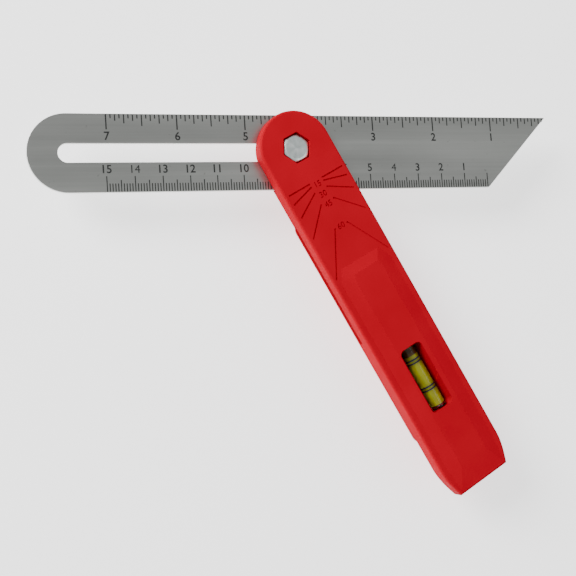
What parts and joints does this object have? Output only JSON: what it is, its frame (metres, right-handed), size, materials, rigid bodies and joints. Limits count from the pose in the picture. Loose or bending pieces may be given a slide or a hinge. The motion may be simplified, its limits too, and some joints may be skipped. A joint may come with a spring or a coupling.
{
  "type": "sliding t-bevel",
  "caption": "Sliding T-bevel: slotted ruled steel blade clamped between the cheeks of a moulded handle with a level vial, set by a bolt and wing nut.",
  "frame": {"origin": "middle of the clamp bolt's head face, on the blade's pivot axis", "axes": "+X along the blade towards its pointed end, +Y across the blade towards the inch edge, +Z out of the tool's front face"},
  "size_m": [0.2054, 0.146, 0.0229],
  "materials": {
    "red_plastic": "satin moulded",
    "blade_steel": "brushed along its length, with dark etched marks",
    "zinc_steel": "dull zinc plating",
    "fibre": "matte",
    "clear_plastic": "clear polished",
    "level_liquid": "clear yellow-green",
    "air_bubble": "clear"
  },
  "bodies": {
    "handle": {"front_shell": "red_plastic", "back_shell": "red_plastic", "case_screw_1": "zinc_steel", "case_screw_2": "zinc_steel", "case_screw_3": "zinc_steel", "case_screw_4": "zinc_steel", "vial_tube": "clear_plastic", "vial_plug": "clear_plastic", "vial_liquid": "level_liquid", "clamp_bolt": "zinc_steel"},
    "pivot_washer": {"friction_washer": "fibre"},
    "blade": {"blade": "blade_steel"},
    "clamp_washer": {"flat_washer": "zinc_steel"},
    "wing_nut": {"wing_nut": "zinc_steel"},
    "bubble": {"vial_bubble": "air_bubble"}
  },
  "joints": [
    {"name": "blade_pivot", "type": "hinge", "parent": "handle", "child": "pivot_washer", "pos_m": [0, 0, 0], "axis": [0, 0, 1], "range_deg": [-40.2, 94.8]},
    {"name": "blade_slide", "type": "slide", "parent": "pivot_washer", "child": "blade", "axis": [1, 0, 0], "range_m": [-0.0065, 0.0821]},
    {"name": "wing_nut_lift", "type": "slide", "parent": "handle", "child": "clamp_washer", "axis": [0, 0, -1], "range_m": [0, 0.00151]},
    {"name": "wing_nut_turn", "type": "hinge", "parent": "clamp_washer", "child": "wing_nut", "pos_m": [0, 0, 0], "axis": [0, 0, -1], "range_deg": [0, 540]},
    {"name": "bubble_travel", "type": "slide", "parent": "handle", "child": "bubble", "axis": [0.4586, -0.8886, 0], "range_m": [0, 0.0178]}
  ],
  "couplings": [
    {"joint": "wing_nut_lift", "follows": "wing_nut_turn", "m_per_rad": 0.00015915}
  ]
}
